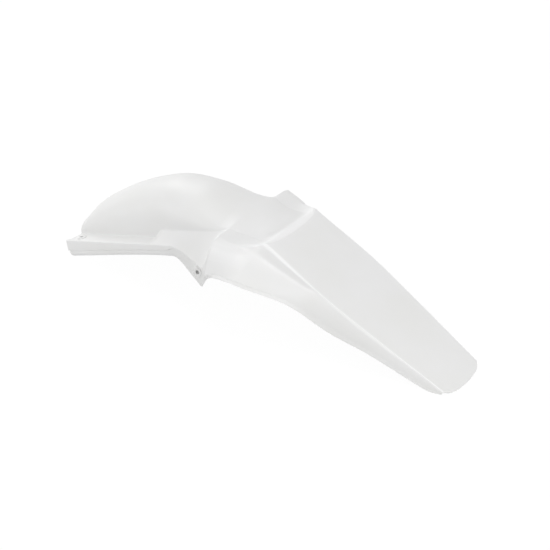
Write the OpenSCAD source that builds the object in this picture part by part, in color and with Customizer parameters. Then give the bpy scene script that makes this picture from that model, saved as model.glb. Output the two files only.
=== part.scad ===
// Rear mudguard for an off-road motorcycle: one moulded plastic shell.
// A wheel arch in front, side rails and legs along it, flared ears behind the legs,
// and a flat tail panel with turned-down sides. Millimetres, +X to the tail, +Z up.
// The shell is lofted through guide curves in a rail frame, where the side rails lie
// level at z = 0 and start at x = 0, and is then turned to the way it stands at rest.

/* [Shell] */
// Wall thickness of the moulding
wall = 2.8; // [2:0.1:4]

/* [Arch] */
// Height of the arch's crown over the rails at its highest point
arch_h = 75; // [62:1:88]
// Height of the arch at its open front end
arch_front_h = 24; // [18:1:32]
// Distance from the rail tips back to the arch's highest point
arch_top_at = 168; // [150:1:185]
// Half width of the arch at its open front end
arch_front_half_w = 51; // [44:1:58]
// Half width of the arch where the legs start
arch_leg_half_w = 66; // [58:1:74]
// Squareness of the arch's cross-section, 2 being an ellipse
arch_square = 2.5; // [2:0.1:3.2]
// Distance back to where the ledge along the arch ends
ledge_end = 163; // [150:1:172]
// Rise of the arch's foot behind the ledge
foot_rise = 13; // [8:1:18]

/* [Rails and legs] */
// Half width over the rails at their front tips
rail_front_half_w = 77; // [70:1:84]
// Half width over the rails where the legs start
rail_rear_half_w = 90; // [84:1:96]
// Depth of the rails below the ledge at their front tips
rail_front_drop = 28; // [24:0.5:33]
// Depth of the rails below the ledge where the legs start
rail_rear_drop = 18; // [15:0.5:23]
// Depth of the groove along the foot of the rails and legs
groove = 5; // [3:0.5:7]
// Height of the grooved band along the foot of the rails and legs
groove_band = 10; // [8:0.5:12]
// Distance from the rail tips back to where the legs turn down
leg_start = 200; // [190:1:210]
// Length of the legs, measured along the rails
leg_len = 77; // [68:1:86]
// Half width over the legs at their ends
leg_half_w = 112; // [106:1:116]
// Depth of the upper edge of the legs at their ends
leg_top_drop = 30; // [24:1:36]
// Height of the band along the legs
leg_band = 33; // [28:1:37]

/* [Ears] */
// Gap between the end of a leg and the front edge of the ear behind it
ear_gap = 9; // [6:0.5:14]
// Length of the ears ahead of the tail panel
ear_len = 71; // [62:1:80]
// Half width over the ears at their lower front corner
ear_half_w = 123; // [118:1:130]
// Half width over the rounded shoulder of the ears
ear_shoulder_half_w = 107; // [102:1:112]
// Height of the ears' shoulder over the rails
ear_shoulder_h = 17; // [12:1:22]
// Depth of the ears' lower front corner below the rails
ear_drop = 36; // [30:1:42]
// Depth of the step between the tail panel's edge and the ear beside it
ear_step = 21; // [15:1:25]
// Height of the narrow band along the lower edge of ears and tail sides
rim_band = 7; // [5:0.5:8]
// How far the ears bulge outwards between shoulder and lower edge
ear_bulge = 5; // [3:0.5:8]

/* [Tail] */
// Length of the tail panel along its middle
tail_len = 344; // [305:1:385]
// Slope of the tail panel against the rails, in degrees
tail_pitch = 43.8; // [38:0.2:50]
// Half width of the tail panel at its start
tail_start_half_w = 72.5; // [68:0.5:76]
// Half width of the tail panel where the ears run out
tail_wide_half_w = 76; // [72:1:82]
// Distance along the tail panel to where the ears run out
ears_out_at = 103; // [90:1:115]
// Half width of the tail panel at its end
tail_end_half_w = 56; // [48:1:62]
// Depth of the turned-down side where the ears run out
side_drop = 41; // [34:1:46]
// Depth of the turned-down side near the tail's end
side_end_drop = 12; // [8:1:15]
// Lean of the turned-down side, outwards over its depth
side_lean = 12; // [8:1:18]
// Crown of the tail panel across its width
tail_crown = 3; // [1:0.5:6]
// How far the tail's end is rounded, from its corners to its tip
end_round = 24; // [18:1:32]

/* [Fixing holes] */
// Diameter of the fixing holes
bolt_hole_d = 6.5; // [5:0.1:8]
// Diameter of the pads round the fixing holes
pad_d = 15; // [13:0.5:17]
// Thickness of the pads round the fixing holes
pad_t = 5; // [4.5:0.1:7]
// Distance of the ledge holes behind the rail tips
ledge_hole_at = 22; // [20:1:30]
// Half distance between the ledge holes
ledge_hole_half_w = 65; // [63:0.5:67]

/* [Hidden] */
finish = [0.95, 0.95, 0.95];

// Fixing holes: the ledge's upper face, and the middle of the band near the leg's end
ledge_top = 2;
pad_top = ledge_top;
leg_hole_at = leg_start + leg_len - 23;
leg_hole_z = -leg_top_drop - 3;
leg_face = leg_half_w - 3;
leg_pad_t = pad_t + 7;

// Guide curve: a smooth line through pairs of place and value that doesn't overshoot
function slope(k, i) = (k[i + 1][1] - k[i][1]) / (k[i + 1][0] - k[i][0]);
function tangent(k, i) =
    i == 0 ? slope(k, 0)
    : i == len(k) - 1 ? slope(k, i - 1)
    : let (a = slope(k, i - 1), b = slope(k, i)) a * b <= 0 ? 0 : 2 * a * b / (a + b);
function span_at(k, s, i = 0) = i >= len(k) - 2 || s < k[i + 1][0] ? i : span_at(k, s, i + 1);
function guide(k, s) =
    s <= k[0][0] ? k[0][1]
    : s >= k[len(k) - 1][0] ? k[len(k) - 1][1]
    : let (
        i = span_at(k, s),
        h = k[i + 1][0] - k[i][0],
        t = (s - k[i][0]) / h,
        a = tangent(k, i) * h,
        b = tangent(k, i + 1) * h
    )
    k[i][1] * (2 * t * t * t - 3 * t * t + 1) + a * (t * t * t - 2 * t * t + t)
    + k[i + 1][1] * (3 * t * t - 2 * t * t * t) + b * (t * t * t - t * t);
function mix(a, b, t) = a + (b - a) * t;

// Places along the part, measured on the rails and then down the tail
leg_end = leg_start + leg_len;
leg_middle = mix(leg_start, leg_end, 0.5);
arch_rear = mix(arch_top_at, leg_end, 0.5);
ledge_fades = ledge_end - 14;
ledge_gone = ledge_end + 20;
ear_front = leg_end + ear_gap;
tail_start = ear_front + ear_len;
ear_back = mix(ear_front, tail_start, 0.2);
shelf_start = mix(ear_front, tail_start, 0.45);
arch_toe = mix(ear_front, tail_start, 0.6);
shelf_end = mix(ear_front, tail_start, 0.8);
toe = tail_start + 14;
tail_end = tail_start + tail_len;
ears_out = tail_start + ears_out_at;
ears_narrow = mix(tail_start, ears_out, 0.45);
ears_slim = mix(tail_start, ears_out, 0.8);
side_end = tail_end - end_round;
side_middle = mix(ears_out, side_end, 0.5);

// The crown line: front end, top, ear front, tongue and tail panel
function crest(s) =
    s < arch_top_at
    ? arch_front_h + (arch_h - arch_front_h) * (1 - pow(1 - s / arch_top_at, 1.8))
    : guide([[arch_top_at, arch_h], [arch_rear, arch_h * 0.85], [leg_end, arch_h * 0.47],
             [ear_front, arch_h * 0.4], [arch_toe, arch_h * 0.18], [toe, tail_crown],
             [tail_end, tail_crown * 0.6]], s);

// The foot of the arch: half width and height
function foot_w(s) = guide([[0, arch_front_half_w],
    [ledge_end, mix(arch_front_half_w, arch_leg_half_w, 0.75)],
    [leg_start, arch_leg_half_w], [leg_end, arch_leg_half_w + 12], [ear_front, arch_leg_half_w + 2],
    [shelf_start, tail_start_half_w * 0.8], [tail_start, tail_start_half_w * 0.52],
    [ears_out, tail_wide_half_w * 0.6], [tail_end, tail_end_half_w * 0.6]], s);
function foot_h(s) = guide([[0, ledge_top], [ledge_fades, ledge_top], [ledge_gone, ledge_top + foot_rise],
    [mix(leg_start, leg_end, 0.3), ledge_top + foot_rise], [leg_end, ear_shoulder_h],
    [ear_front, ear_shoulder_h + 7.5], [shelf_start, 5], [tail_start, 2],
    [toe, tail_crown * 0.64], [tail_end, tail_crown * 0.4]], s);

// The upper edge of rails and legs, and how far their faces and grooved bands reach below it
function edge_w(s) = guide([[0, rail_front_half_w], [leg_start, rail_rear_half_w], [leg_end, leg_half_w]], s);
function edge_h(s) = guide([[0, 0], [leg_start, 0], [leg_start + 14, -3], [leg_end, -leg_top_drop]], s);
function low_drop(s) = guide([[0, rail_front_drop], [leg_start, rail_rear_drop],
    [leg_middle, mix(rail_rear_drop, leg_band, 0.75)], [leg_end, leg_band]], s);
function band_drop(s) = low_drop(s) - guide([[leg_start, groove_band], [leg_end, groove_band * 1.3]], s);

// The crease along the tail panel
function crease_w(s) = guide([[ear_front, ear_shoulder_half_w - 9], [ear_back, ear_shoulder_half_w - 13],
    [shelf_start, tail_start_half_w + 9], [shelf_end, tail_start_half_w + 1.5],
    [tail_start, tail_start_half_w], [ears_out, tail_wide_half_w],
    [side_middle, mix(tail_wide_half_w, tail_end_half_w, 0.43)],
    [side_end, tail_end_half_w], [tail_end, tail_end_half_w - 1]], s);
function crease_h(s) = guide([[ear_front, ear_shoulder_h + 5], [ear_back, ear_shoulder_h + 1],
    [shelf_start, 3], [tail_start, 0], [tail_end, 0]], s);

// The foot of the step below the crease, which is the shoulder of the ears in front of it
function valley_w(s) = guide([[ear_front, ear_shoulder_half_w], [ear_back, ear_shoulder_half_w - 2],
    [shelf_start, tail_start_half_w + 23], [shelf_end, tail_start_half_w + 12],
    [tail_start, tail_start_half_w + 7.5], [toe, tail_start_half_w + 5.5],
    [ears_out, tail_wide_half_w + 1.5], [side_end, tail_end_half_w + 1.2], [tail_end, tail_end_half_w]], s);
function valley_h(s) = guide([[ear_front, ear_shoulder_h], [ear_back, ear_shoulder_h - 4], [shelf_start, 2],
    [shelf_end, -ear_step * 0.55], [tail_start, -ear_step * 0.84], [toe, -ear_step],
    [ears_narrow, -ear_step * 0.74], [ears_slim, -ear_step * 0.42], [ears_out, -2.5], [tail_end, -2]], s);

// The lower edge of ears and tail, the bulge above it and the groove under its band
function rim_w(s) = guide([[ear_front, ear_half_w], [shelf_end, ear_half_w - 3], [toe, ear_half_w - 5],
    [ears_narrow, ear_half_w - 15], [ears_slim, tail_wide_half_w + side_lean + 7],
    [ears_out, tail_wide_half_w + side_lean],
    [side_middle, mix(tail_wide_half_w + side_lean, tail_end_half_w, 0.5)],
    [side_end, tail_end_half_w + 1]], s);
function rim_h(s) = guide([[ear_front, -ear_drop], [shelf_start, -ear_drop - 9], [shelf_end, -ear_drop - 21],
    [tail_start, -ear_drop - 26], [toe, -ear_drop - 22], [ears_narrow, -ear_drop - 13],
    [ears_slim, -side_drop], [ears_out + 30, -side_drop],
    [side_middle, mix(-side_drop, -side_end_drop, 0.46)],
    [side_end - 18, -side_end_drop - 5], [side_end, -side_end_drop * 0.55]], s);
function bulge(s) = guide([[ear_front, ear_bulge * 0.6], [tail_start, ear_bulge],
    [ears_out, ear_bulge * 0.35], [tail_end, 0]], s);
function lip_groove(s) = guide([[0, groove], [leg_end, groove], [ear_front, 1.2], [tail_start, 1.2],
    [ears_out, 0]], s);

// Lean of the section planes, and how far the middle of a section lies behind its edges
function lean(s) = guide([[leg_start, 0], [ear_front, 20.5], [tail_start, tail_pitch]], s);
function bow(s) = guide([[0, 16], [45, 0], [shelf_start, 0], [tail_start, 9], [tail_start + 40, 0],
    [side_end - 2.5 * end_round, 0], [side_end, end_round]], s);

// Cross-section at a place: half width and height of each point from the crown outwards
across = [9, 2, 2, 4, 2, 3];
function crown_part(s) = let (
    p = guide([[leg_start, arch_square], [ear_front, 2], [tail_start, 2]], s),
    q = guide([[leg_start, arch_square], [ear_front, 1.4], [shelf_start, 1], [tail_start, 0.7],
        [toe + 10, 1]], s),
    w = foot_w(s), h = foot_h(s), top = crest(s)
) [for (j = [0:across[0] - 1]) let (r = pow(sin(90 * j / across[0]), 2 / p))
    [w * r, h + (top - h) * pow(1 - pow(r, p), 1 / q)]];
function line_part(a, b, n) = [for (j = [0:n - 1]) mix(a, b, j / n)];
function arc_part(a, b, n, rise) = let (d = b - a, out = [-d[1], d[0]] / norm(d))
    [for (j = [0:n - 1]) mix(a, b, j / n) + out * rise * sin(180 * j / n)];
function groove_part(a, b, deep) = [a, mix(a, b, 0.1) - [deep, 0], mix(a, b, 0.55) - [deep * 0.7, 0]];

function front_section(s) = let (
    foot = [foot_w(s), foot_h(s)],
    edge = [edge_w(s), edge_h(s)],
    one = mix(foot, edge, 0.24),
    two = mix(foot, edge, 0.46),
    band = edge - [0, band_drop(s)],
    low = edge - [0, low_drop(s)]
) concat(crown_part(s), line_part(foot, one, across[1]), line_part(one, two, across[2]),
    line_part(two, edge, across[3]), line_part(edge, band, across[4]),
    groove_part(band, low, lip_groove(s)), [low - [lip_groove(s), 0]]);
function rear_section(s) = let (
    foot = [foot_w(s), foot_h(s)],
    crease = [crease_w(s), crease_h(s)],
    valley = [valley_w(s), valley_h(s)],
    low = [rim_w(s), rim_h(s)],
    band = mix(low, valley, rim_band / norm(valley - low))
) concat(crown_part(s), line_part(foot, crease, across[1]), line_part(crease, valley, across[2]),
    arc_part(valley, band, across[3] + across[4], bulge(s)),
    groove_part(band, low, lip_groove(s)), [low - [lip_groove(s), 0]]);
function section(s) = s < mix(leg_end, ear_front, 0.5) ? front_section(s) : rear_section(s);

// The spine runs level along the rails and turns down the tail at its start
function spine(s) = s < tail_start ? [s, 0]
    : [tail_start + (s - tail_start) * cos(tail_pitch), -(s - tail_start) * sin(tail_pitch)];
function bowed(s, y) = let (edge = s < ear_front ? edge_w(s) : crease_w(s), r = min(1, y / edge))
    s + bow(s) * sqrt(1 - r * r);
function place(s, y, h) = let (p = spine(bowed(s, abs(y))), a = lean(s))
    [p[0] + h * sin(a), y, p[1] + h * cos(a)];

// Stations: spans with a number of steps each, closer where the form changes fast
spans = [[0, 3], [18, 8], [ledge_fades, 4], [ledge_gone, 2], [leg_start, 4], [leg_start + 22, 4],
    [leg_end, 1], [ear_front, 6], [tail_start - 5, 2], [tail_start + 5, 3], [toe + 8, 6],
    [ears_out, 8], [side_end - 30, 5], [side_end, 0]];
stations = [for (i = [0:len(spans) - 2]) for (j = [0:spans[i][1] - 1])
    mix(spans[i][0], spans[i + 1][0], j / spans[i][1]), side_end];

function whole_row(s) = let (half = section(s), n = len(half))
    [for (j = [n - 1:-1:1]) place(s, -half[j][0], half[j][1]), for (p = half) place(s, p[0], p[1])];
outer = [for (s = stations) whole_row(s)];
rows = len(outer);
cols = len(outer[0]);

function unit(v) = v / norm(v);
function clamp(i, top) = max(0, min(top, i));
function normal(i, j) = unit(cross(
    outer[clamp(i + 1, rows - 1)][j] - outer[clamp(i - 1, rows - 1)][j],
    outer[i][clamp(j + 1, cols - 1)] - outer[i][clamp(j - 1, cols - 1)]));
inner = [for (i = [0:rows - 1]) [for (j = [0:cols - 1]) outer[i][j] - normal(i, j) * wall]];

// The standing attitude: the rail tips and the tail's end touch the ground
low_front = [for (j = [0, 1, 2]) inner[0][j], for (j = [0, 1, 2]) outer[0][j]];
tip = low_front[min_index([for (p = low_front) p[2]])];
rear_points = [for (i = [floor(rows / 2):rows - 1]) for (j = [0:cols - 1])
    for (p = [outer[i][j], inner[i][j]]) p];
rest_pitch = -min([for (p = rear_points) atan2(p[2] - tip[2], p[0] - tip[0])]);
function min_index(v) = let (low = min(v)) [for (i = [0:len(v) - 1]) if (v[i] == low) i][0];
function turned(p) = let (c = cos(rest_pitch), d = sin(rest_pitch))
    [p[0] * c - p[2] * d, p[1], p[0] * d + p[2] * c];
standing = [for (row = outer) for (p = row) turned(p), for (row = inner) for (p = row) turned(p)];
stand_x = [for (p = standing) p[0]];
stand_z = [for (p = standing) p[2]];
shift = [-(min(stand_x) + max(stand_x)) / 2, 0, -min(stand_z)];
points = [for (p = standing) p + shift];

// Faces: outer skin, inner skin and the edge strip that joins them
function at(skin, i, j) = skin * rows * cols + i * cols + j;
function pair(a, b, c, d) = [[a, b, c], [a, c, d]];
skins = [for (i = [0:rows - 2]) for (j = [0:cols - 2]) for (f = concat(
    pair(at(0, i, j), at(0, i, j + 1), at(0, i + 1, j + 1), at(0, i + 1, j)),
    pair(at(1, i, j), at(1, i + 1, j), at(1, i + 1, j + 1), at(1, i, j + 1)))) f];
ends = [for (j = [0:cols - 2]) for (f = concat(
    pair(at(0, 0, j), at(1, 0, j), at(1, 0, j + 1), at(0, 0, j + 1)),
    pair(at(0, rows - 1, j), at(0, rows - 1, j + 1), at(1, rows - 1, j + 1), at(1, rows - 1, j)))) f];
sides = [for (i = [0:rows - 2]) for (f = concat(
    pair(at(0, i, 0), at(0, i + 1, 0), at(1, i + 1, 0), at(1, i, 0)),
    pair(at(0, i, cols - 1), at(1, i, cols - 1), at(1, i + 1, cols - 1), at(0, i + 1, cols - 1)))) f];

module shell() {
    polyhedron(points = points, faces = concat(skins, ends, sides));
}

// Places given in the rail frame, turned to the way the part stands
module stand() {
    translate(shift) rotate([0, -rest_pitch, 0]) children();
}
module ledge_hole(d, low, high) {
    for (side = [-1, 1])
        translate([ledge_hole_at, side * ledge_hole_half_w, low]) cylinder(d = d, h = high - low, $fn = 48);
}
module leg_hole(d, low, high) {
    for (side = [-1, 1])
        translate([leg_hole_at, side * low, leg_hole_z]) rotate([-90 * side, 0, 0])
            cylinder(d = d, h = high - low, $fn = 48);
}

module rear_fender() {
    color(finish) difference() {
        union() {
            shell();
            stand() ledge_hole(pad_d, pad_top - pad_t, pad_top);
            stand() leg_hole(pad_d, leg_face - leg_pad_t, leg_face);
        }
        stand() ledge_hole(bolt_hole_d, pad_top - 2 * pad_t, pad_top + pad_t);
        stand() leg_hole(bolt_hole_d, leg_face - 2 * leg_pad_t, leg_face + pad_t);
    }
}

rear_fender();
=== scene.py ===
"""Visual scene of a one-piece moulded rear mudguard for an off-road motorcycle.

The mudguard is one shell: a wheel arch between two side rails, legs that turn down
behind the rails, flared ears, and a flat tail panel with turned-down sides. Sizes are
in millimetres in a rail frame, where the side rails lie level and start at x = 0. The
finished mesh is turned to the way the part stands and written in metres.
"""

import logging
import math
from dataclasses import dataclass, field
from enum import Enum

import bmesh
import bpy
from mathutils import Matrix, Vector

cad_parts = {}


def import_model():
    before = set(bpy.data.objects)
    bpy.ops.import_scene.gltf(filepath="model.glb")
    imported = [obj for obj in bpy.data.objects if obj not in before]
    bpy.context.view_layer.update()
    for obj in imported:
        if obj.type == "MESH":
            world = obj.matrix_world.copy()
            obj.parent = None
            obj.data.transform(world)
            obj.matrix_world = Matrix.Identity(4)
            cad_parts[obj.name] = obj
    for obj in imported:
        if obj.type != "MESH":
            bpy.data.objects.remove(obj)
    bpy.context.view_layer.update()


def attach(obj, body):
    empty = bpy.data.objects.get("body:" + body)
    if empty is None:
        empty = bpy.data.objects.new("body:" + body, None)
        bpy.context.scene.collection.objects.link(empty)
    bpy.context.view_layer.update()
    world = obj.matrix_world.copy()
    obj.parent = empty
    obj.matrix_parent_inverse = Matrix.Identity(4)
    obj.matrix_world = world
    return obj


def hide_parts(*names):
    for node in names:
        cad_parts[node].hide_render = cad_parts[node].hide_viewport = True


LOG = logging.getLogger("mudguard")
# One millimetre in metres
MM = 0.001
# The mesh attribute that marks where a highlight is painted onto the skin's colour
PAINTED_HIGHLIGHT = "painted_highlight"

Point = tuple[float, float]
Knots = list[Point]
Colour = tuple[float, float, float]


def mix(a: float, b: float, t: float) -> float:
    """Returns the value the share t of the way from a to b."""
    return a + (b - a) * t


def between(a: Point, b: Point, t: float) -> Point:
    """Returns the point the share t of the way from a to b."""
    return (mix(a[0], b[0], t), mix(a[1], b[1], t))


def line(a: Point, b: Point, count: int) -> list[Point]:
    """Returns count even points from a towards b, without b itself."""
    return [between(a, b, j / count) for j in range(count)]


def swell(a: Point, b: Point, count: int, rise: float, at: float) -> list[Point]:
    """Makes a swelling line of points between two places of a cross-section.

    Args:
        a: The first point, which is kept.
        b: The last point, which is left out.
        count: How many points to return.
        rise: How far the knee of the curve stands out from the straight line.
        at: The share of the way at which the knee stands.

    Returns:
        The points, from a towards b.
    """
    run, drop = b[0] - a[0], b[1] - a[1]
    length = math.hypot(run, drop)
    foot = between(a, b, at)
    knee = (foot[0] - drop / length * rise, foot[1] + run / length * rise)
    shares = [j / count for j in range(count)]
    return [between(between(a, knee, t), between(knee, b, t), t) for t in shares]


def lip(band: Point, low: Point, deep: float) -> list[Point]:
    """Makes the grooved strip along a lower edge.

    Args:
        band: The top of the strip.
        low: The lower edge before the groove.
        deep: How far the strip lies inside the face above it.

    Returns:
        The four points of the strip, from its top to the lowest edge.
    """
    top, middle = between(band, low, 0.1), between(band, low, 0.5)
    return [band, (top[0] - deep, top[1]), (middle[0] - deep * 0.6, middle[1]), (low[0] - deep * 1.3, low[1])]


def outward(rows: list[list[Vector]], i: int, j: int) -> Vector:
    """Finds the direction that a grid of points faces at one of them.

    Args:
        rows: The grid.
        i: The point's row.
        j: The point's place in its row.

    Returns:
        The unit normal, worked out from the neighbours.
    """
    along = rows[min(len(rows) - 1, i + 1)][j] - rows[max(0, i - 1)][j]
    across = rows[i][min(len(rows[i]) - 1, j + 1)] - rows[i][max(0, j - 1)]
    return along.cross(across).normalized()


class Guide:
    """A smooth line through pairs of place and value that doesn't overshoot."""

    def __init__(self, knots: Knots) -> None:
        """Keeps the knots and works out the slope at each."""
        self.places = [k[0] for k in knots]
        self.values = [k[1] for k in knots]
        rise = [
            (self.values[i + 1] - self.values[i]) / (self.places[i + 1] - self.places[i])
            for i in range(len(knots) - 1)
        ]
        self.slopes = [rise[0]]
        for a, b in zip(rise, rise[1:]):
            self.slopes.append(0.0 if a * b <= 0 else 2 * a * b / (a + b))
        self.slopes.append(rise[-1])

    def at(self, s: float) -> float:
        """Reads the guide.

        Args:
            s: The place along the part, in millimetres.

        Returns:
            The value there; before the first knot and past the last it stays level.
        """
        if s <= self.places[0]:
            return self.values[0]
        if s >= self.places[-1]:
            return self.values[-1]
        i = max(k for k, place in enumerate(self.places) if place <= s)
        h = self.places[i + 1] - self.places[i]
        t = (s - self.places[i]) / h
        a, b = self.slopes[i] * h, self.slopes[i + 1] * h
        return (
            self.values[i] * (2 * t**3 - 3 * t**2 + 1)
            + a * (t**3 - 2 * t**2 + t)
            + self.values[i + 1] * (3 * t**2 - 2 * t**3)
            + b * (t**3 - t**2)
        )


@dataclass(frozen=True)
class SplitGuide:
    """Two guides that meet at one place, where the line may turn sharply."""

    front: Guide
    rear: Guide

    def at(self, s: float) -> float:
        """Returns the value at a place, from the guide on whose side it lies."""
        return (self.front if s < self.rear.places[0] else self.rear).at(s)


@dataclass
class Places:
    """Where the forms start and end, measured on the rails and then down the tail."""

    arch_top: float = 168.0
    ledge_end: float = 163.0
    ledge_run_in: float = 14.0
    ledge_run_out: float = 20.0
    step_run_in: float = 4.0
    step_run_out: float = 10.0
    leg_start: float = 200.0
    leg_len: float = 73.0
    ear_gap: float = 13.0
    ear_len: float = 71.0
    brow_len: float = 11.0
    front_edge_len: float = 1.0
    toe_len: float = 14.0
    ears_out_at: float = 103.0
    tail_len: float = 342.0
    end_round: float = 13.0

    def __post_init__(self) -> None:
        """Works out the places that follow from the lengths."""
        self.leg_end = self.leg_start + self.leg_len
        self.leg_middle = mix(self.leg_start, self.leg_end, 0.5)
        self.arch_rear = mix(self.arch_top, self.leg_end, 0.5)
        self.ledge_fades = self.ledge_end - self.ledge_run_in
        self.ledge_gone = self.ledge_end + self.ledge_run_out
        self.step_foot = self.ledge_end - self.step_run_in
        self.step_head = self.ledge_end + self.step_run_out
        self.ear_front = self.leg_end + self.ear_gap
        self.tail_start = self.ear_front + self.ear_len
        self.ear_back = mix(self.ear_front, self.tail_start, 0.2)
        self.shelf_start = mix(self.ear_front, self.tail_start, 0.45)
        self.arch_toe = mix(self.ear_front, self.tail_start, 0.6)
        self.shelf_end = mix(self.ear_front, self.tail_start, 0.8)
        self.brow = self.tail_start - self.brow_len
        self.panel_front = self.tail_start - self.front_edge_len
        self.toe = self.tail_start + self.toe_len
        self.tail_end = self.tail_start + self.tail_len
        self.ears_out = self.tail_start + self.ears_out_at
        self.ears_narrow = mix(self.tail_start, self.ears_out, 0.45)
        self.ears_slim = mix(self.tail_start, self.ears_out, 0.8)
        self.side_end = self.tail_end - self.end_round
        self.side_middle = mix(self.ears_out, self.side_end, 0.5)


@dataclass(frozen=True)
class TailPanel:
    """The flat tail panel's sizes, which the arch's tongue and the tail's sides share."""

    start_half_w: float = 72.5
    wide_half_w: float = 76.0
    end_half_w: float = 55.0
    crown: float = 3.0
    brow_drop: float = 5.0


@dataclass(frozen=True)
class Counts:
    """How many columns of the shell's grid each stretch of a cross-section gets."""

    crown: int = 16
    shelf: int = 2
    step: int = 2
    face: int = 5
    band: int = 2

    @property
    def foot(self) -> int:
        """Column of the arch's foot."""
        return self.crown

    @property
    def crease(self) -> int:
        """Column of the tail panel's crease."""
        return self.crown + self.shelf

    @property
    def valley(self) -> int:
        """Column of the foot of the step below the crease."""
        return self.crease + self.step

    @property
    def edge(self) -> int:
        """Column of the rail's upper edge."""
        return self.valley + self.face

    @property
    def groove(self) -> int:
        """Column where the grooved strip starts."""
        return self.edge + self.band

    @property
    def half(self) -> int:
        """Number of columns from the crown line to the lowest edge."""
        return self.groove + 4


@dataclass
class WheelArch:
    """The domed arch over the wheel, from its open front to the tongue on the tail."""

    places: Places
    panel: TailPanel
    shoulder_h: float
    height: float = 75.0
    front_height: float = 24.0
    front_half_w: float = 51.0
    leg_half_w: float = 66.0
    squareness: float = 2.5
    foot_rise: float = 13.0
    foot_h: float = 2.0
    crown_curve: float = 1.8

    def __post_init__(self) -> None:
        """Builds the guide curves of the crown line and of the arch's foot."""
        p, panel, h = self.places, self.panel, self.height
        crown, high_foot = panel.crown, self.foot_h + self.foot_rise
        # The first knot keeps the crown line level at its top
        self.crest_rear = Guide([
            (p.arch_top - 1, h), (p.arch_top, h), (p.arch_rear, h * 0.84), (p.leg_end, h * 0.44),
            (p.ear_front, h * 0.37), (p.arch_toe, h * 0.13), (p.brow, crown - panel.brow_drop),
            (p.panel_front, crown * 0.8), (p.toe, crown), (p.tail_end, crown * 0.6),
        ])
        self.foot_w = Guide([
            (0, self.front_half_w), (p.ledge_end, mix(self.front_half_w, self.leg_half_w, 0.75)),
            (p.leg_start, self.leg_half_w), (p.leg_end, self.leg_half_w + 4), (p.ear_front, self.leg_half_w),
            (p.shelf_start, panel.start_half_w * 0.8), (p.tail_start, panel.start_half_w * 0.8),
            (p.ears_out, panel.wide_half_w * 0.6), (p.tail_end, panel.end_half_w * 0.6),
        ])
        # The fold at the foot climbs in a shorter run than the skin above it
        self.step_z = Guide([(p.step_foot, self.foot_h), (p.step_head, high_foot), (p.ledge_gone, high_foot)])
        self.foot_z = Guide([
            (0, self.foot_h), (p.ledge_fades, self.foot_h), (p.ledge_gone, high_foot),
            (mix(p.leg_start, p.leg_end, 0.3), high_foot), (p.leg_end, self.shoulder_h - 3),
            (p.ear_front, self.shoulder_h), (p.ear_back, self.shoulder_h * 0.65),
            (p.shelf_start, self.shoulder_h * 0.3), (p.brow, crown * 0.7 - panel.brow_drop),
            (p.panel_front, crown * 0.5), (p.toe, crown * 0.64), (p.tail_end, crown * 0.4),
        ])
        self.round_across = Guide([(p.leg_start, self.squareness), (p.leg_end, 2.1), (p.ear_front, 2)])
        self.round_up = Guide([
            (p.leg_start, self.squareness), (p.leg_end, 1.6), (p.ear_front, 1.35), (p.shelf_start, 1),
        ])

    def crest(self, s: float) -> float:
        """Returns the height of the crown line at a place."""
        if s >= self.places.arch_top:
            return self.crest_rear.at(s)
        rest = 1 - s / self.places.arch_top
        return self.front_height + (self.height - self.front_height) * (1 - rest**self.crown_curve)

    def profile(self, s: float, count: int) -> list[Point]:
        """Makes the arch's half of a cross-section.

        Args:
            s: The place along the part.
            count: How many points to return, from the crown outwards.

        Returns:
            Half width and height of each point, without the foot itself.
        """
        p, q = self.round_across.at(s), self.round_up.at(s)
        w, h, top = self.foot_w.at(s), self.foot_z.at(s), self.crest(s)
        points = []
        for j in range(count):
            r = math.sin(math.pi / 2 * j / count) ** (2 / p)
            points.append((w * r, h + (top - h) * (1 - r**p) ** (1 / q)))
        return points

    def foot(self, s: float) -> Point:
        """Returns the fold at the foot of the arch at a place."""
        height = self.step_z if s < self.places.ledge_gone else self.foot_z
        return (self.foot_w.at(s), height.at(s))


@dataclass
class SideRails:
    """The ledges along the arch with their faces and grooved bands, and the legs."""

    places: Places
    front_half_w: float = 77.0
    rear_half_w: float = 90.0
    front_drop: float = 26.5
    rear_drop: float = 18.0
    groove: float = 3.5
    groove_band: float = 10.0
    knee_len: float = 14.0
    knee_drop: float = 3.0
    leg_half_w: float = 112.0
    leg_top_drop: float = 26.5
    leg_band: float = 33.0
    leg_face: float = 3.0
    shelf_share: float = 0.24
    step_share: float = 0.46

    def __post_init__(self) -> None:
        """Builds the guide curves of the upper edge and of the depths below it."""
        p = self.places
        self.edge_w = Guide([
            (0, self.front_half_w), (p.leg_start, self.rear_half_w), (p.leg_end, self.leg_half_w),
        ])
        self.edge_z = Guide([
            (0, 0), (p.leg_start, 0), (p.leg_start + self.knee_len, -self.knee_drop),
            (p.leg_end, -self.leg_top_drop),
        ])
        self.depth = Guide([
            (0, self.front_drop), (p.leg_start, self.rear_drop),
            (p.leg_middle, mix(self.rear_drop, self.leg_band, 0.75)), (p.leg_end, self.leg_band),
        ])
        self.band = Guide([(p.leg_start - 8, self.groove_band)] + [
            (s, self.depth.at(s) - self.leg_face) for s in (p.leg_start + 20, p.leg_middle, p.leg_end)
        ])

    def profile(self, s: float, foot: Point, counts: Counts) -> list[Point]:
        """Makes the rail's part of a cross-section, from the arch's foot to the lowest edge.

        Args:
            s: The place along the part.
            foot: The foot of the arch at that place.
            counts: How many points each stretch gets.

        Returns:
            Half width and height of each point.
        """
        edge = (self.edge_w.at(s), self.edge_z.at(s))
        low = (edge[0], edge[1] - self.depth.at(s))
        band = (edge[0], low[1] + self.band.at(s))
        shelf, step = between(foot, edge, self.shelf_share), between(foot, edge, self.step_share)
        return (
            line(foot, shelf, counts.shelf) + line(shelf, step, counts.step) + line(step, edge, counts.face)
            + line(edge, band, counts.band) + lip(band, low, self.groove)
        )


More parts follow.
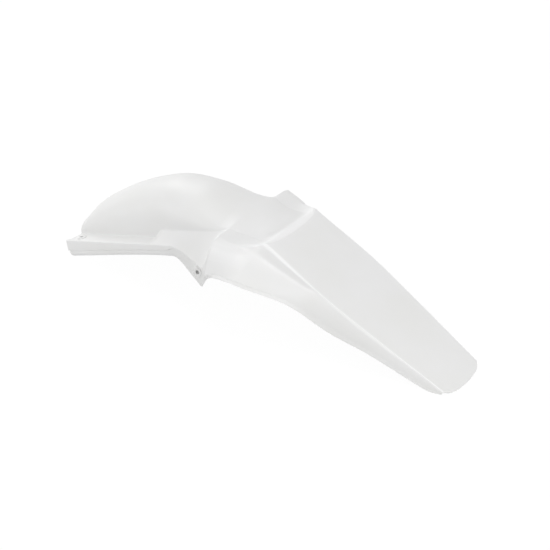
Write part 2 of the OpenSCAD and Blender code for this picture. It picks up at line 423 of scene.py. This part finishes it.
@dataclass
class FlaredEars:
    """The ears behind the legs and the tail's turned-down sides, which run on from them."""

    places: Places
    panel: TailPanel
    half_w: float = 122.4
    shoulder_half_w: float = 104.0
    shoulder_h: float = 20.0
    drop: float = 36.0
    step: float = 21.0
    rim_band: float = 7.0
    rim_groove: float = 1.2
    rim_share: float = 0.4
    bulge: float = 15.5
    corner_tuck: float = 10.0
    chamfer: float = 4.0
    chamfer_lean: Point = (0.8, 0.1)
    side_drop: float = 41.0
    side_end_drop: float = 10.0
    side_lean: float = 12.0

    def __post_init__(self) -> None:
        """Builds the guide curves of the crease, of the step's foot and of the lower edge."""
        p, panel = self.places, self.panel
        start, wide, end = panel.start_half_w, panel.wide_half_w, panel.end_half_w
        side = wide + self.side_lean
        self.crease_w = Guide([
            (p.ear_front, self.shoulder_half_w - 16), (p.ear_back, self.shoulder_half_w - 14),
            (p.shelf_start, start + 14), (p.arch_toe, start + 12), (p.shelf_end, start + 7),
            (p.tail_start, start), (p.ears_out, wide), (p.side_middle, mix(wide, end, 0.43)),
            (p.side_end, end), (p.tail_end, end - 1),
        ])
        self.crease_z = Guide([
            (p.ear_front, self.shoulder_h + 1), (p.ear_back, self.shoulder_h * 0.66),
            (p.shelf_start, self.shoulder_h * 0.27), (p.arch_toe, self.shoulder_h * 0.12),
            (p.shelf_end, 0.5), (p.tail_start, 0),
        ])
        self.chamfer_w = Guide([
            (p.ear_front, self.chamfer * 1.5), (p.shelf_end, self.chamfer), (p.tail_start, self.chamfer),
            (p.ears_out, 0.8),
        ])
        self.valley_w = Guide([
            (p.ear_front, self.shoulder_half_w), (p.ear_back, self.shoulder_half_w - 3),
            (p.shelf_start, start + 22), (p.arch_toe, start + 17.5), (p.shelf_end, start + 11),
            (p.tail_start, start + 7), (p.toe, start + 4.5), (p.ears_out, wide + 1.5),
            (p.side_end, end + 1.2), (p.tail_end, end),
        ])
        self.valley_z = SplitGuide(
            Guide([
                (p.ear_front, self.shoulder_h - 1), (p.ear_back, self.shoulder_h * 0.55),
                (p.shelf_start, self.shoulder_h * 0.16), (p.arch_toe, -self.step * 0.1),
                (p.shelf_end, -self.step * 0.52), (p.tail_start, -self.step * 0.96),
            ]),
            Guide([
                (p.tail_start, -self.step * 0.96), (p.toe, -self.step * 0.94),
                (p.ears_narrow, -self.step * 0.72), (p.ears_slim, -self.step * 0.42),
                (p.ears_out, -2.5), (p.tail_end, -2),
            ]),
        )
        self.rim_w = Guide([
            (p.ear_front, self.half_w), (p.shelf_end, self.half_w - 3), (p.toe, self.half_w - 5),
            (p.ears_narrow, self.half_w - 15), (p.ears_slim, side + 7), (p.ears_out, side),
            (p.side_middle, mix(side, end, 0.5)), (p.side_end, end + 1),
        ])
        self.rim_z = SplitGuide(
            Guide([
                (p.ear_front, -self.drop), (p.shelf_start, -self.drop - 9), (p.arch_toe, -self.drop - 13.6),
                (p.shelf_end, -self.drop - 20.3), (p.tail_start, -self.drop - 27.6),
            ]),
            Guide([
                (p.tail_start, -self.drop - 27.6), (p.toe, -self.drop - 22), (p.ears_narrow, -self.drop - 13),
                (p.ears_slim, -self.side_drop), (p.ears_out + 30, -self.side_drop),
                (p.side_middle, mix(-self.side_drop, -self.side_end_drop, 0.46)),
                (p.side_end - 18, -self.side_end_drop - 5), (p.side_end, -self.side_end_drop * 0.55),
            ]),
        )
        self.knee_rise = Guide([
            (p.ear_front, self.bulge), (p.shelf_start, self.bulge), (p.tail_start, self.bulge * 0.6),
            (p.ears_narrow, self.bulge * 0.4), (p.ears_out, self.bulge * 0.18), (p.tail_end, 0),
        ])
        self.knee_at = Guide([
            (p.ear_front, 0.17), (p.shelf_start, 0.22), (p.tail_start, 0.4), (p.ears_narrow, 0.5),
        ])
        self.tuck = Guide([(p.ear_front, self.corner_tuck), (p.ear_back, 0)])
        self.groove = Guide([
            (p.ear_front, self.rim_groove), (p.tail_start, self.rim_groove), (p.ears_out, 0),
        ])

    def chamfer_edge(self, s: float, crease: Point, valley: Point) -> Point:
        """Finds the lower edge of the chamfer that runs along the crease.

        Args:
            s: The place along the part.
            crease: The crease there.
            valley: The foot of the step below it.

        Returns:
            Half width and height of the edge, which leans out from the way to the valley.
        """
        fall = (Vector(valley) - Vector(crease)).normalized()
        way = (fall + Vector(self.chamfer_lean)).normalized()
        return tuple(Vector(crease) + way * self.chamfer_w.at(s))

    def profile(self, s: float, foot: Point, counts: Counts) -> list[Point]:
        """Makes the ear's or tail side's part of a cross-section.

        Args:
            s: The place along the part.
            foot: The foot of the arch or the tongue at that place.
            counts: How many points each stretch gets.

        Returns:
            Half width and height of each point, down to the lowest edge.
        """
        crease = (self.crease_w.at(s), self.crease_z.at(s))
        valley = (self.valley_w.at(s), self.valley_z.at(s))
        edge = self.chamfer_edge(s, crease, valley)
        rim, tuck = (self.rim_w.at(s), self.rim_z.at(s)), self.tuck.at(s)
        share = min(self.rim_share, (self.rim_band - tuck / 2) / math.dist(valley, rim))
        band = between(rim, valley, share)
        low = (rim[0] - tuck, rim[1] - tuck * 0.9)
        return (
            line(foot, crease, counts.shelf) + [crease] + line(edge, valley, counts.step - 1)
            + swell(valley, band, counts.face + counts.band, self.knee_rise.at(s), self.knee_at.at(s))
            + lip(band, low, self.groove.at(s))
        )


def mesh_object(shape: bmesh.types.BMesh, name: str) -> bpy.types.Object:
    """Writes a mesh to a new object in the scene and frees it.

    Args:
        shape: The mesh.
        name: The name of the object and of its mesh.

    Returns:
        The object.
    """
    data = bpy.data.meshes.new(name)
    shape.to_mesh(data)
    shape.free()
    item = bpy.data.objects.new(name, data)
    bpy.context.scene.collection.objects.link(item)
    return item


def applied(source: bpy.types.Object, name: str) -> bpy.types.Object:
    """Makes a new object from the mesh that an object's modifiers give.

    Args:
        source: The object with its modifiers.
        name: The new object's name.

    Returns:
        The new object, without modifiers.
    """
    graph = bpy.context.evaluated_depsgraph_get()
    data = bpy.data.meshes.new_from_object(source.evaluated_get(graph), depsgraph=graph)
    data.name = name
    item = bpy.data.objects.new(name, data)
    bpy.context.scene.collection.objects.link(item)
    return item


@dataclass
class FixingPads:
    """The thickened pads round the four fixing holes, and the holes themselves."""

    places: Places
    hole_d: float = 6.5
    pad_d: float = 15.0
    pad_t: float = 5.0
    ledge_at: float = 22.0
    ledge_half_w: float = 65.0
    ledge_top: float = 2.0
    leg_back: float = 19.0
    leg_z: float = -33.0
    leg_face: float = 109.0
    leg_pad_t: float = 12.0
    edge_round: float = 0.7
    bore_spare: float = 4.0
    sides: int = 64

    def spindle(self, diameter: float, low: Vector, high: Vector, rounding: float) -> bmesh.types.BMesh:
        """Makes one upright or sideways cylinder between two points.

        Args:
            diameter: Its diameter in millimetres.
            low: The middle of one end face, in the rail frame.
            high: The middle of the other end face.
            rounding: Radius of both edges, or 0 to leave them sharp.

        Returns:
            A mesh in millimetres in the rail frame.
        """
        mesh = bmesh.new()
        bmesh.ops.create_cone(
            mesh, cap_ends=True, segments=self.sides, radius1=diameter / 2, radius2=diameter / 2,
            depth=(high - low).length,
        )
        if rounding:
            rims = [e for e in mesh.edges if abs(e.verts[0].co.z - e.verts[1].co.z) < 1e-6]
            bmesh.ops.bevel(
                mesh, geom=rims, offset=rounding, offset_type="OFFSET", segments=3, profile=0.5,
                affect="EDGES", material=-1,
            )
        turn = Vector((0, 0, 1)).rotation_difference(high - low).to_matrix().to_4x4()
        bmesh.ops.transform(mesh, matrix=Matrix.Translation((low + high) / 2) @ turn, verts=mesh.verts)
        return mesh

    def spindles(self, diameter: float, spare: float, rounding: float) -> list[bmesh.types.BMesh]:
        """Makes a cylinder at each of the four fixing places.

        Args:
            diameter: Their diameter.
            spare: How far they reach past both ends of the pads.
            rounding: Radius of their edges.

        Returns:
            Four meshes in the rail frame.
        """
        made = []
        for side in (-1, 1):
            top = Vector((self.ledge_at, side * self.ledge_half_w, self.ledge_top))
            face = Vector((self.places.leg_end - self.leg_back, side * self.leg_face, self.leg_z))
            ends = ((top, Vector((0, 0, 1)), self.pad_t), (face, Vector((0, side, 0)), self.leg_pad_t))
            for start, out, deep in ends:
                low, high = start - out * (deep + spare), start + out * spare
                made.append(self.spindle(diameter, low, high, rounding))
        return made

    def pads(self) -> list[bmesh.types.BMesh]:
        """Returns the four pads, rounded at their rims."""
        return self.spindles(self.pad_d, 0.0, self.edge_round)

    def bores(self) -> list[bmesh.types.BMesh]:
        """Returns four cutters for the holes, longer than the pads are thick."""
        return self.spindles(self.hole_d, self.bore_spare, 0.0)


def linear(grey: float) -> float:
    """Returns the linear value of a screen grey from 0 to 1."""
    return grey / 12.92 if grey <= 0.04045 else ((grey + 0.055) / 1.055) ** 2.4


def paint(colour: Colour) -> tuple[float, float, float, float]:
    """Returns a screen colour as the linear colour a socket takes."""
    return (linear(colour[0]), linear(colour[1]), linear(colour[2]), 1.0)


def noise(
    tree: bpy.types.NodeTree, source: bpy.types.Node, scale: str, detail: float, rough: float
) -> bpy.types.NodeSocket:
    """Adds a noise texture to a group.

    Args:
        tree: The group's tree.
        source: The group's input node, which gives the vector and the scale.
        scale: The name of the input that holds the scale.
        detail: How many layers of finer noise it has.
        rough: How strong the finer layers are.

    Returns:
        The socket of the noise's value.
    """
    node = tree.nodes.new("ShaderNodeTexNoise")
    node.inputs["Detail"].default_value = detail
    node.inputs["Roughness"].default_value = rough
    tree.links.new(source.outputs["Vector"], node.inputs["Vector"])
    tree.links.new(source.outputs[scale], node.inputs["Scale"])
    return node.outputs["Fac"]


def mixed(
    tree: bpy.types.NodeTree, kind: str, share: bpy.types.NodeSocket,
    first: bpy.types.NodeSocket, second: bpy.types.NodeSocket,
) -> bpy.types.NodeSocket:
    """Adds a mix of two values or two colours.

    Args:
        tree: The tree it goes into.
        kind: "FLOAT" or "RGBA".
        share: The socket that gives the second one's share.
        first: The socket of the first.
        second: The socket of the second.

    Returns:
        The socket of the result.
    """
    node = tree.nodes.new("ShaderNodeMix")
    node.data_type = kind
    for socket, label in ((share, "Factor"), (first, "A"), (second, "B")):
        tree.links.new(socket, node.inputs[label])
    return node.outputs["Result"]


class SkinGroup:
    """The shared node group of moulded plastic: cloudy tint, fine grain and a painted highlight along edges.
    """

    NAME = "moulded skin"
    INPUTS = (
        ("Colour", "NodeSocketColor", (0.8, 0.8, 0.8, 1)),
        ("Cloud Colour", "NodeSocketColor", (0.75, 0.75, 0.75, 1)),
        # The lighter colour of the painted highlight
        ("Painted Highlight Colour", "NodeSocketColor", (0.9, 0.9, 0.9, 1)),
        ("Smooth Roughness", "NodeSocketFloat", 0.3),
        ("Dull Roughness", "NodeSocketFloat", 0.4),
        ("Cloud Scale", "NodeSocketFloat", 9.0),
        ("Ripple Scale", "NodeSocketFloat", 90.0),
        ("Grain Scale", "NodeSocketFloat", 1400.0),
        ("Grain Share", "NodeSocketFloat", 0.3),
    )
    OUTPUTS = (("Colour", "NodeSocketColor"), ("Roughness", "NodeSocketFloat"), ("Height", "NodeSocketFloat"))

    @classmethod
    def get(cls) -> bpy.types.NodeTree:
        """Returns the group, building it the first time."""
        return bpy.data.node_groups.get(cls.NAME) or cls.build()

    @classmethod
    def build(cls) -> bpy.types.NodeTree:
        """Builds the group.

        Returns:
            A shader node group with named sockets for vector, colours, roughness and
            scales, which puts out a colour, a roughness and a height.
        """
        group = bpy.data.node_groups.new(cls.NAME, "ShaderNodeTree")
        group.interface.new_socket("Vector", in_out="INPUT", socket_type="NodeSocketVector")
        for label, kind, value in cls.INPUTS:
            group.interface.new_socket(label, in_out="INPUT", socket_type=kind).default_value = value
        for label, kind in cls.OUTPUTS:
            group.interface.new_socket(label, in_out="OUTPUT", socket_type=kind)
        source, sink = group.nodes.new("NodeGroupInput"), group.nodes.new("NodeGroupOutput")
        ripple = noise(group, source, "Ripple Scale", 1.0, 0.4)
        grain = noise(group, source, "Grain Scale", 2.0, 0.6)
        for label, result in (
            ("Colour", cls.tint(group, source)),
            ("Roughness", mixed(
                group, "FLOAT", ripple, source.outputs["Smooth Roughness"], source.outputs["Dull Roughness"]
            )),
            ("Height", mixed(group, "FLOAT", source.outputs["Grain Share"], ripple, grain)),
        ):
            group.links.new(result, sink.inputs[label])
        return group

    @classmethod
    def tint(cls, group: bpy.types.NodeTree, source: bpy.types.Node) -> bpy.types.NodeSocket:
        """Adds the nodes of the colour: soft clouds, with a painted highlight laid over them.

        Args:
            group: The group's tree.
            source: The group's input node.

        Returns:
            The socket of the colour.
        """
        spread = group.nodes.new("ShaderNodeMapRange")
        spread.inputs["From Min"].default_value = 0.35
        spread.inputs["From Max"].default_value = 0.65
        group.links.new(noise(group, source, "Cloud Scale", 3.0, 0.55), spread.inputs["Value"])
        cloudy = mixed(
            group, "RGBA", spread.outputs["Result"], source.outputs["Colour"], source.outputs["Cloud Colour"]
        )
        # Painted highlight: where the mesh is marked, the colour is lightened towards the highlight colour
        highlight_mask = group.nodes.new("ShaderNodeAttribute")
        highlight_mask.attribute_name = PAINTED_HIGHLIGHT
        return mixed(group, "RGBA", highlight_mask.outputs["Fac"], cloudy, source.outputs["Painted Highlight Colour"])


@dataclass(frozen=True)
class MouldedPlastic:
    """A white moulded plastic finish."""

    name: str
    colour: Colour
    cloud: Colour
    # Colour of the painted highlight along the tail panel's edges
    edge: Colour
    smooth: float
    dull: float
    ripple_scale: float
    grain_scale: float
    grain_share: float
    bump_depth: float
    refraction: float = 1.49

    def material(self) -> bpy.types.Material:
        """Builds the material.

        Returns:
            A material whose Principled shader reads the shared skin group.
        """
        material = bpy.data.materials.new(self.name)
        material.use_nodes = True
        nodes, links = material.node_tree.nodes, material.node_tree.links
        shader = nodes["Principled BSDF"]
        shader.inputs["IOR"].default_value = self.refraction
        where = nodes.new("ShaderNodeTexCoord")
        skin = nodes.new("ShaderNodeGroup")
        skin.node_tree = SkinGroup.get()
        links.new(where.outputs["Object"], skin.inputs["Vector"])
        for label, value in (
            ("Colour", paint(self.colour)),
            ("Cloud Colour", paint(self.cloud)),
            # The painted highlight's colour
            ("Painted Highlight Colour", paint(self.edge)),
            ("Smooth Roughness", self.smooth),
            ("Dull Roughness", self.dull),
            ("Ripple Scale", self.ripple_scale),
            ("Grain Scale", self.grain_scale),
            ("Grain Share", self.grain_share),
        ):
            skin.inputs[label].default_value = value
        bump = nodes.new("ShaderNodeBump")
        bump.inputs["Strength"].default_value = 1.0
        bump.inputs["Distance"].default_value = self.bump_depth
        links.new(skin.outputs["Height"], bump.inputs["Height"])
        links.new(skin.outputs["Colour"], shader.inputs["Base Color"])
        links.new(skin.outputs["Roughness"], shader.inputs["Roughness"])
        links.new(bump.outputs["Normal"], shader.inputs["Normal"])
        return material


@dataclass
class Standing:
    """How the rail frame is turned and moved so that the part stands on the floor."""

    pitch_deg: float = 19.385
    shift: tuple[float, float, float] = (-325.389, 0.0, 24.5302)

    @property
    def matrix(self) -> Matrix:
        """Matrix from the rail frame in millimetres to the standing part in metres."""
        turn = Matrix.Rotation(math.radians(-self.pitch_deg), 4, "Y")
        return Matrix.Scale(MM, 4) @ Matrix.Translation(self.shift) @ turn


@dataclass(frozen=True)
class Fold:
    """A fold line along the shell and the length of skin that its rounding takes on each side."""

    column: int
    reach: float


class Texture(Enum):
    """The two sides of the mould."""

    POLISHED = 0
    SATIN = 1


class Tool(Enum):
    """What a cylinder does to the shell."""

    ADDS = "UNION"
    CUTS = "DIFFERENCE"


@dataclass
class MudguardShell:
    """The whole moulding: a lofted shell with rounded folds, pads and holes."""

    places: Places
    arch: WheelArch
    rails: SideRails
    ears: FlaredEars
    pads: FixingPads
    standing: Standing
    wall: float = 2.8
    ear_lean_deg: float = 20.5
    tail_pitch_deg: float = 43.8
    front_bow: float = 16.0
    brow_bow: float = 12.0
    counts: Counts = field(default_factory=Counts)
    rim_crease: float = 0.55
    fillet_row: float = 1.2
    # How far the painted highlight fades in at the brow, and its strength along the step's foot
    highlight_run: float = 6.0
    faint_highlight: float = 0.35
    sharp_deg: float = 38.0

    def __post_init__(self) -> None:
        """Builds the guides of the section planes and lists the folds."""
        p, c = self.places, self.counts
        self.lean = Guide([
            (p.leg_start, 0), (p.ear_front, self.ear_lean_deg), (p.tail_start, self.tail_pitch_deg),
        ])
        self.bow = Guide([
            (0, self.front_bow), (45, 0), (p.shelf_start, 0), (p.tail_start, self.brow_bow),
            (p.tail_start + 40, 0), (p.side_end - 2.5 * p.end_round, 0), (p.side_end, p.end_round),
        ])
        self.folds = {
            fold.column: fold
            for fold in (
                Fold(c.foot, 2.4), Fold(c.crease, 1.2), Fold(c.crease + 1, 1.2), Fold(c.valley, 1.8),
                Fold(c.edge, 1.5), Fold(c.groove, 0.5), Fold(c.groove + 1, 0.3),
            )
        }

    def stations(self) -> list[float]:
        """Works out the places of the grid's rows, closer where the form changes fast.

        Returns:
            The places, from the arch's open front to the tail's end.
        """
        p, near = self.places, self.fillet_row
        # Where each stretch starts and how many rows it has
        spans = [
            (0, 5), (18, 14), (p.ledge_fades, 8), (p.ledge_gone, 4), (p.leg_start, 6), (p.leg_start + 22, 7),
            (p.leg_end - near, 1), (p.leg_end, 1), (p.ear_front, 1), (p.ear_front + near, 13),
            (p.brow - 8, 5), (p.brow + 2, 5), (p.tail_start, 5), (p.toe + 4, 12), (p.ears_out, 12),
            (p.side_end - 34, 9), (p.side_end, 0),
        ]
        places = []
        for (start, steps), (end, _) in zip(spans, spans[1:]):
            places += [mix(start, end, j / steps) for j in range(steps)]
        return places + [p.side_end]

    def section(self, s: float) -> list[Point]:
        """Makes half a cross-section.

        Args:
            s: The place along the part.

        Returns:
            Half width and height of each point, from the crown line to the lowest edge.
        """
        foot = self.arch.foot(s)
        front = s < mix(self.places.leg_end, self.places.ear_front, 0.5)
        outside = self.rails if front else self.ears
        return self.arch.profile(s, self.counts.crown) + outside.profile(s, foot, self.counts)

    def spine(self, s: float) -> Point:
        """Returns the spine, which runs level and turns down the tail at its start."""
        past = max(0.0, s - self.places.tail_start)
        pitch = math.radians(self.tail_pitch_deg)
        return (min(s, self.places.tail_start) + past * math.cos(pitch), -past * math.sin(pitch))

    def place(self, s: float, y: float, h: float) -> Vector:
        """Puts a point of a cross-section into the rail frame.

        Args:
            s: The place of the section.
            y: How far to the side the point lies.
            h: Its height in the section's plane.

        Returns:
            The point in millimetres.
        """
        front = s < self.places.ear_front
        edge = self.rails.edge_w.at(s) - self.rails.groove if front else self.ears.crease_w.at(s)
        share = min(1.0, abs(y) / edge)
        x, z = self.spine(s + self.bow.at(s) * math.sqrt(1 - share**2))
        lean = math.radians(self.lean.at(s))
        return Vector((x + h * math.sin(lean), y, z + h * math.cos(lean)))

    def skins(self) -> list[list[list[Vector]]]:
        """Works out the grid points of the outer and the inner side.

        Returns:
            The outer side's rows and the inner side's rows, each row running from the
            lowest edge at -Y over the crown line to the lowest edge at +Y.
        """
        outer = []
        for s in self.stations():
            half = self.section(s)
            near = [self.place(s, -w, h) for w, h in reversed(half[1:])]
            outer.append(near + [self.place(s, w, h) for w, h in half])
        inner = [
            [point - outward(outer, i, j) * self.wall for j, point in enumerate(row)]
            for i, row in enumerate(outer)
        ]
        return [[self.rounded(row) for row in side] for side in (outer, inner)]

    def rounded(self, row: list[Vector]) -> list[Vector]:
        """Rounds the folds of one row.

        Args:
            row: The row's points, the same number on both sides of the crown line.

        Returns:
            The row with three points in the place of each fold's one.
        """
        middle, points = len(row) // 2, []
        for j, point in enumerate(row):
            fold = self.folds.get(abs(j - middle))
            if fold is None:
                points.append(point)
                continue
            before, after = row[j - 1] - point, row[j + 1] - point
            reach = min(fold.reach, 0.45 * before.length, 0.45 * after.length)
            start, end = point + before.normalized() * reach, point + after.normalized() * reach
            points += [start, (start + end + 2 * point) / 4, end]
        return points

    def columns(self) -> list[float]:
        """Returns the section's column at each point of a rounded row, in thirds round a fold."""
        half = []
        for c in range(self.counts.half):
            half += [c - 1 / 3, c, c + 1 / 3] if c in self.folds else [c]
        return [-c for c in reversed(half[1:])] + half

    def painted_highlight(self, s: float, column: float) -> float:
        """Tells where a highlight is painted round the tail panel.

        Args:
            s: The place along the part.
            column: The section's column, with the crown line at 0.

        Returns:
            The painted highlight's strength: 1 on the panel's front edge and on the chamfer along its sides,
            less along the foot of the step beside it, 0 on plain skin.
        """
        p, out = self.places, abs(column) - self.counts.crease
        past_valley = out - self.counts.step
        share = 0.0
        if 0 <= out <= 1:
            share = (s - p.arch_toe) / (p.brow - p.arch_toe)
        elif out < 0 and s <= p.panel_front:
            share = (s - p.brow + self.highlight_run / 2) / self.highlight_run
        elif 0 <= past_valley < 0.5 and p.toe < s < p.ears_out:
            share = self.faint_highlight
        return max(0.0, min(1.0, share))

    def loft(self) -> bmesh.types.BMesh:
        """Lays a grid over the cross-sections and gives it the wall.

        Returns:
            A closed shell in the rail frame, with its rim creased for the subdivision, its inner side in the
            satin slot and its painted highlight marked.
        """
        skins = self.skins()
        last_row, last_col = len(skins[0]) - 1, len(skins[0][0]) - 1
        shell = bmesh.new()
        bmesh.ops.create_grid(shell, x_segments=last_row, y_segments=last_col, size=1.0)
        row_of = shell.verts.layers.int.new("row")
        column_of = shell.verts.layers.int.new("column")
        inside = shell.verts.layers.int.new("inside")
        highlight_layer = shell.verts.layers.float.new(PAINTED_HIGHLIGHT)
        stations, columns = self.stations(), self.columns()
        for vert in shell.verts:
            vert[row_of] = round((vert.co.x + 1) / 2 * last_row)
            vert[column_of] = round((vert.co.y + 1) / 2 * last_col)
            vert.co = skins[0][vert[row_of]][vert[column_of]]
            # Each point's share of the painted highlight
            vert[highlight_layer] = self.painted_highlight(stations[vert[row_of]], columns[vert[column_of]])
        for item in bmesh.ops.solidify(shell, geom=shell.faces[:], thickness=self.wall)["geom"]:
            if isinstance(item, bmesh.types.BMVert):
                item[inside] = 1
                item.co = skins[1][item[row_of]][item[column_of]]
        crease = shell.edges.layers.float.new("crease_edge")
        for face in shell.faces:
            face.smooth = True
            sides = {v[inside] for v in face.verts}
            face.material_index = (Texture.SATIN if sides == {1} else Texture.POLISHED).value
            if len(sides) > 1:
                for edge in face.edges:
                    if edge.verts[0][inside] == edge.verts[1][inside]:
                        edge[crease] = self.rim_crease
        return shell

    def build(self, name: str) -> bpy.types.Object:
        """Makes the finished moulding.

        Args:
            name: The object's name.

        Returns:
            The object, with its place in its mesh.
        """
        shell = mesh_object(self.loft(), name + "_loft")
        smooth = shell.modifiers.new("smooth skin", "SUBSURF")
        smooth.levels = smooth.render_levels = 1
        spares = [shell]
        cylinders = [(pad, Tool.ADDS) for pad in self.pads.pads()]
        cylinders += [(bore, Tool.CUTS) for bore in self.pads.bores()]
        for cylinder, tool in cylinders:
            work = shell.modifiers.new(tool.name.lower(), "BOOLEAN")
            work.operation = tool.value
            # The exact solver loses the shell, whose inner side folds over itself near the legs' ends
            work.solver = "MANIFOLD"
            work.object = mesh_object(cylinder, name + "_tool")
            spares.append(work.object)
        piece = applied(shell, name)
        for spare in spares:
            bpy.data.objects.remove(spare, do_unlink=True)
        piece.data.transform(self.standing.matrix)
        piece.data.set_sharp_from_angle(angle=math.radians(self.sharp_deg))
        return piece

    def dress(self, piece: bpy.types.Object, polished: MouldedPlastic, satin: MouldedPlastic) -> None:
        """Puts the outer and the inner finish on the moulding.

        Args:
            piece: The moulding.
            polished: The finish of the outer side.
            satin: The finish of the inner side.
        """
        piece.data.materials.clear()
        piece.data.materials.append(polished.material())
        piece.data.materials.append(satin.material())


def seen_directly(tree: bpy.types.NodeTree) -> bpy.types.NodeSocket:
    """Adds the nodes that tell whether the camera or a reflection sees the floor or the world.

    Args:
        tree: The tree of the floor's material or of the world.

    Returns:
        A socket that is 1 for such a ray and 0 for all others.
    """
    path, either = tree.nodes.new("ShaderNodeLightPath"), tree.nodes.new("ShaderNodeMath")
    either.operation = "MAXIMUM"
    tree.links.new(path.outputs["Is Camera Ray"], either.inputs[0])
    tree.links.new(path.outputs["Is Glossy Ray"], either.inputs[1])
    return either.outputs["Value"]


@dataclass(frozen=True)
class Lamp:
    """A square soft lamp."""

    name: str
    place: tuple[float, float, float]
    power: float
    size: float = 1.6

    def hang(self, aim: Vector) -> None:
        """Adds the lamp to the scene.

        Args:
            aim: The point it faces.
        """
        data = bpy.data.lights.new(self.name, "AREA")
        data.shape = "SQUARE"
        data.size = self.size
        data.energy = self.power
        lamp = bpy.data.objects.new(self.name, data)
        lamp.location = self.place
        lamp.rotation_euler = (lamp.location - aim).to_track_quat("Z", "Y").to_euler()
        bpy.context.scene.collection.objects.link(lamp)


@dataclass
class Studio:
    """Pale floor, soft lamps and the camera."""

    target: tuple[float, float, float] = (-0.003985, 0.0, 0.053501)
    azimuth_deg: float = 26.6597
    elevation_deg: float = 29.0927
    roll_deg: float = 7.3605
    distance: float = 2.96
    lens: float = 130.9
    floor_size: float = 60.0
    floor_colour: Colour = (0.86, 0.86, 0.86)
    floor_glow: float = 0.92
    glow_strength: float = 1.05
    world_strength: float = 0.431
    white: Colour = (1.0, 1.0, 1.0)
    aim: tuple[float, float, float] = (0.0, 0.0, 0.08)
    lamps: tuple[Lamp, ...] = (
        Lamp("side lamp", (-0.4, -3.2, 1.3), 18.0),
        Lamp("top lamp", (0.0, 0.0, 3.5), 21.7),
        Lamp("front lamp", (-3.2, 0.0, 1.3), 9.2),
        Lamp("far front lamp", (-2.3, 1.8, 2.0), 24.9),
        Lamp("low front lamp", (-2.6, -1.8, 0.5), 17.4),
        Lamp("low tail lamp", (3.0, -1.0, 0.6), 50.4),
    )

    def camera(self) -> None:
        """Sets up the scene's camera at the photograph's viewing angle."""
        a, e = math.radians(self.azimuth_deg), math.radians(self.elevation_deg)
        back = Vector((math.sin(a) * math.cos(e), -math.cos(a) * math.cos(e), math.sin(e)))
        data = bpy.data.cameras.new("camera")
        data.lens = self.lens
        data.sensor_width = 36.0
        data.clip_end = 200.0
        camera = bpy.data.objects.new("camera", data)
        aim = back.to_track_quat("Z", "Y").to_matrix()
        turn = Matrix.Rotation(math.radians(self.roll_deg), 3, back)
        place = Matrix.Translation(Vector(self.target) + back * self.distance)
        camera.matrix_world = place @ (turn @ aim).to_4x4()
        bpy.context.scene.collection.objects.link(camera)
        bpy.context.scene.camera = camera

    def world(self) -> None:
        """Makes a white world that the camera and reflections see as plain white."""
        world = bpy.data.worlds.new("studio")
        world.use_nodes = True
        bpy.context.scene.world = world
        nodes, links = world.node_tree.nodes, world.node_tree.links
        light = nodes["Background"]
        light.inputs["Color"].default_value = paint(self.white)
        light.inputs["Strength"].default_value = self.world_strength
        seen = nodes.new("ShaderNodeBackground")
        seen.inputs["Color"].default_value = paint(self.white)
        seen.inputs["Strength"].default_value = 1.0
        blend = nodes.new("ShaderNodeMixShader")
        links.new(seen_directly(world.node_tree), blend.inputs["Fac"])
        links.new(light.outputs["Background"], blend.inputs[1])
        links.new(seen.outputs["Background"], blend.inputs[2])
        links.new(blend.outputs["Shader"], nodes["World Output"].inputs["Surface"])

    def floor(self) -> None:
        """Lays a pale floor that keeps the object's shadow."""
        sheet = bmesh.new()
        bmesh.ops.create_grid(sheet, x_segments=1, y_segments=1, size=self.floor_size / 2)
        floor = mesh_object(sheet, "floor")
        material = bpy.data.materials.new("pale floor")
        material.use_nodes = True
        nodes, links = material.node_tree.nodes, material.node_tree.links
        shader = nodes["Principled BSDF"]
        shader.inputs["Base Color"].default_value = paint(self.floor_colour)
        shader.inputs["Roughness"].default_value = 0.9
        shader.inputs["Specular IOR Level"].default_value = 0.0
        glow = nodes.new("ShaderNodeEmission")
        glow.inputs["Strength"].default_value = self.glow_strength
        share = nodes.new("ShaderNodeMath")
        share.operation = "MULTIPLY"
        share.inputs[1].default_value = self.floor_glow
        blend = nodes.new("ShaderNodeMixShader")
        links.new(seen_directly(material.node_tree), share.inputs[0])
        links.new(share.outputs["Value"], blend.inputs["Fac"])
        links.new(shader.outputs["BSDF"], blend.inputs[1])
        links.new(glow.outputs["Emission"], blend.inputs[2])
        links.new(blend.outputs["Shader"], nodes["Material Output"].inputs["Surface"])
        floor.data.materials.append(material)

    def build(self) -> None:
        """Sets up camera, world, floor and lamps, and the plain view."""
        self.camera()
        self.world()
        self.floor()
        for lamp in self.lamps:
            lamp.hang(Vector(self.aim))
        bpy.context.scene.view_settings.view_transform = "Standard"


def main() -> None:
    """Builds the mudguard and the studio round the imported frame."""
    logging.basicConfig(level=logging.INFO, format="%(name)s: %(message)s")
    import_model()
    Studio().build()
    places, panel = Places(), TailPanel()
    ears = FlaredEars(places, panel)
    arch = WheelArch(places, panel, ears.shoulder_h)
    shell = MudguardShell(places, arch, SideRails(places), ears, FixingPads(places), Standing())
    piece = shell.build("moulded_shell")
    polished = MouldedPlastic(
        "white gloss plastic",
        # edge is the colour of the painted highlight round the tail panel
        colour=(0.93, 0.93, 0.93), cloud=(0.92, 0.92, 0.915), edge=(0.965, 0.965, 0.965),
        smooth=0.38, dull=0.46, ripple_scale=60.0, grain_scale=1600.0, grain_share=0.25, bump_depth=0.00004,
    )
    satin = MouldedPlastic(
        "white satin plastic",
        # edge is the colour of the painted highlight round the tail panel
        colour=(0.92, 0.92, 0.92), cloud=(0.905, 0.905, 0.9), edge=(0.93, 0.93, 0.93),
        smooth=0.46, dull=0.58, ripple_scale=120.0, grain_scale=1100.0, grain_share=0.6, bump_depth=0.00008,
    )
    shell.dress(piece, polished, satin)
    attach(piece, "root")
    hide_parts("rear_fender")
    LOG.info("%s: %d faces, %d vertices", piece.name, len(piece.data.polygons), len(piece.data.vertices))


if __name__ == "__main__":
    main()
